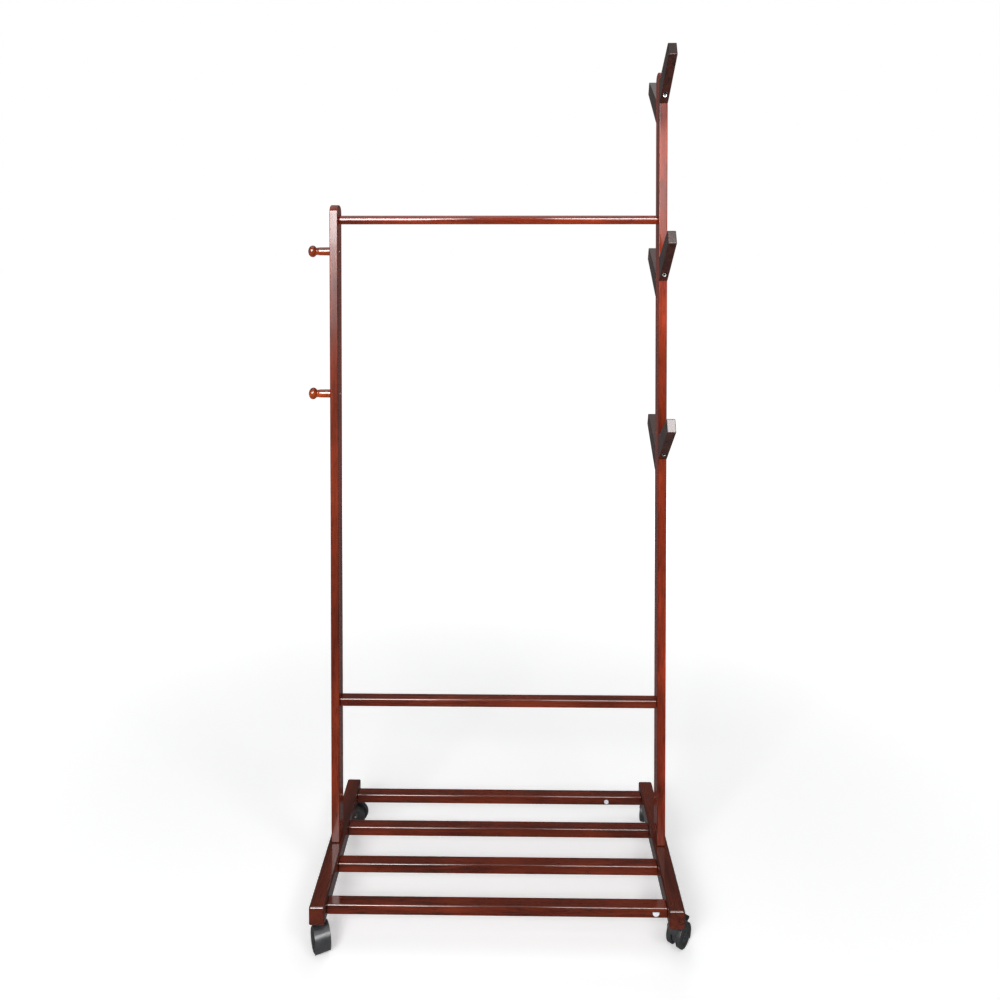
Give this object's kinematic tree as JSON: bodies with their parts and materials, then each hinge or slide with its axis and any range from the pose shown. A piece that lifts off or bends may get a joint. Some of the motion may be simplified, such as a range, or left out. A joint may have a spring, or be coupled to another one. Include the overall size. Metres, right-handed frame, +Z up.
{
  "type": "rolling clothes rack",
  "caption": "Wooden rolling clothes rack: a short and a tall post on two foot beams, with a hanging rod, lower bar, base slats, pegs, slanted hooks and twin-wheel casters.",
  "frame": {"origin": "middle of the rack's outline at floor level", "axes": "+X from the short post to the tall post, +Y from the front to the back, +Z up"},
  "size_m": [0.7194, 0.3872, 1.6145],
  "materials": {
    "wood": "glossy reddish mahogany lacquer",
    "dark_wood": "glossy dark walnut lacquer",
    "steel": "bright zinc plating",
    "caster_plastic": "satin dark grey moulded plastic",
    "wheel_plastic": "dark grey moulded tread",
    "white_plastic": "white moulded cap"
  },
  "bodies": {
    "frame": {"left_foot_beam": "wood", "right_foot_beam": "wood", "left_post": "wood", "right_post": "wood", "hanging_rod": "wood", "lower_cross_bar": "wood", "front_slat": "wood", "front_middle_slat": "wood", "rear_middle_slat": "wood", "rear_slat": "wood", "upper_peg": "wood", "lower_peg": "wood", "top_front_hook": "dark_wood", "top_rear_hook": "dark_wood", "middle_front_hook": "dark_wood", "middle_rear_hook": "dark_wood", "low_front_hook": "dark_wood", "low_rear_hook": "dark_wood", "left_post_bolt": "steel", "right_post_bolt": "steel", "left_barrel_nut": "steel", "right_barrel_nut": "steel", "left_rod_screw": "steel", "right_rod_screw": "steel", "left_bar_screw": "steel", "right_bar_screw": "steel", "upper_peg_screw": "steel", "lower_peg_screw": "steel", "top_front_hook_bolt": "steel", "top_rear_hook_bolt": "steel", "middle_front_hook_bolt": "steel", "middle_rear_hook_bolt": "steel", "low_front_hook_bolt": "steel", "low_rear_hook_bolt": "steel", "front_slat_cap": "white_plastic", "rear_slat_cap": "white_plastic", "front_left_stem": "steel", "front_right_stem": "steel", "rear_left_stem": "steel", "rear_right_stem": "steel"},
    "front_left_swivel": {"front_left_caster_hood": "caster_plastic", "front_left_axle": "steel"},
    "front_left_left_roller": {"front_left_left_wheel": "wheel_plastic"},
    "front_left_right_roller": {"front_left_right_wheel": "wheel_plastic"},
    "front_right_swivel": {"front_right_caster_hood": "caster_plastic", "front_right_axle": "steel", "front_right_brake_pin": "steel"},
    "front_right_left_roller": {"front_right_left_wheel": "wheel_plastic"},
    "front_right_right_roller": {"front_right_right_wheel": "wheel_plastic"},
    "front_right_brake": {"front_right_brake_lever": "caster_plastic"},
    "rear_left_swivel": {"rear_left_caster_hood": "caster_plastic", "rear_left_axle": "steel"},
    "rear_left_left_roller": {"rear_left_left_wheel": "wheel_plastic"},
    "rear_left_right_roller": {"rear_left_right_wheel": "wheel_plastic"},
    "rear_right_swivel": {"rear_right_caster_hood": "caster_plastic", "rear_right_axle": "steel", "rear_right_brake_pin": "steel"},
    "rear_right_left_roller": {"rear_right_left_wheel": "wheel_plastic"},
    "rear_right_right_roller": {"rear_right_right_wheel": "wheel_plastic"},
    "rear_right_brake": {"rear_right_brake_lever": "caster_plastic"}
  },
  "joints": [
    {"name": "front_left_swivel_turn", "type": "hinge", "parent": "frame", "child": "front_left_swivel", "pos_m": [-0.30669, -0.1572, 0.04], "axis": [0, 0, 1], "continuous": true},
    {"name": "front_left_left_wheel_spin", "type": "hinge", "parent": "front_left_swivel", "child": "front_left_left_roller", "pos_m": [-0.29347, -0.16299, 0.02], "axis": [0.8988, 0.4384, 0], "continuous": true},
    {"name": "front_left_right_wheel_spin", "type": "hinge", "parent": "front_left_swivel", "child": "front_left_right_roller", "pos_m": [-0.31027, -0.17119, 0.02], "axis": [0.8988, 0.4384, 0], "continuous": true},
    {"name": "front_right_swivel_turn", "type": "hinge", "parent": "frame", "child": "front_right_swivel", "pos_m": [0.32731, -0.1572, 0.04], "axis": [0, 0, 1], "continuous": true},
    {"name": "front_right_left_wheel_spin", "type": "hinge", "parent": "front_right_swivel", "child": "front_right_left_roller", "pos_m": [0.32722, -0.14277, 0.02], "axis": [-0.766, 0.6428, 0], "continuous": true},
    {"name": "front_right_right_wheel_spin", "type": "hinge", "parent": "front_right_swivel", "child": "front_right_right_roller", "pos_m": [0.34154, -0.15479, 0.02], "axis": [-0.766, 0.6428, 0], "continuous": true},
    {"name": "front_right_brake_press", "type": "hinge", "parent": "front_right_swivel", "child": "front_right_brake", "pos_m": [0.3437, -0.13767, 0.026], "axis": [-0.766, 0.6428, 0], "range_deg": [0, 15]},
    {"name": "rear_left_swivel_turn", "type": "hinge", "parent": "frame", "child": "rear_left_swivel", "pos_m": [-0.30669, 0.1508, 0.04], "axis": [0, 0, 1], "continuous": true},
    {"name": "rear_left_left_wheel_spin", "type": "hinge", "parent": "rear_left_swivel", "child": "rear_left_left_roller", "pos_m": [-0.29399, 0.15766, 0.02], "axis": [0.2079, 0.9781, 0], "continuous": true},
    {"name": "rear_left_right_wheel_spin", "type": "hinge", "parent": "rear_left_swivel", "child": "rear_left_right_roller", "pos_m": [-0.29788, 0.13936, 0.02], "axis": [0.2079, 0.9781, 0], "continuous": true},
    {"name": "rear_right_swivel_turn", "type": "hinge", "parent": "frame", "child": "rear_right_swivel", "pos_m": [0.32731, 0.1508, 0.04], "axis": [0, 0, 1], "continuous": true},
    {"name": "rear_right_left_wheel_spin", "type": "hinge", "parent": "rear_right_swivel", "child": "rear_right_left_roller", "pos_m": [0.32228, 0.16433, 0.02], "axis": [-0.9397, 0.342, 0], "continuous": true},
    {"name": "rear_right_right_wheel_spin", "type": "hinge", "parent": "rear_right_swivel", "child": "rear_right_right_roller", "pos_m": [0.33986, 0.15794, 0.02], "axis": [-0.9397, 0.342, 0], "continuous": true},
    {"name": "rear_right_brake_press", "type": "hinge", "parent": "rear_right_swivel", "child": "rear_right_brake", "pos_m": [0.33603, 0.17476, 0.026], "axis": [-0.9397, 0.342, 0], "range_deg": [0, 15]}
  ]
}
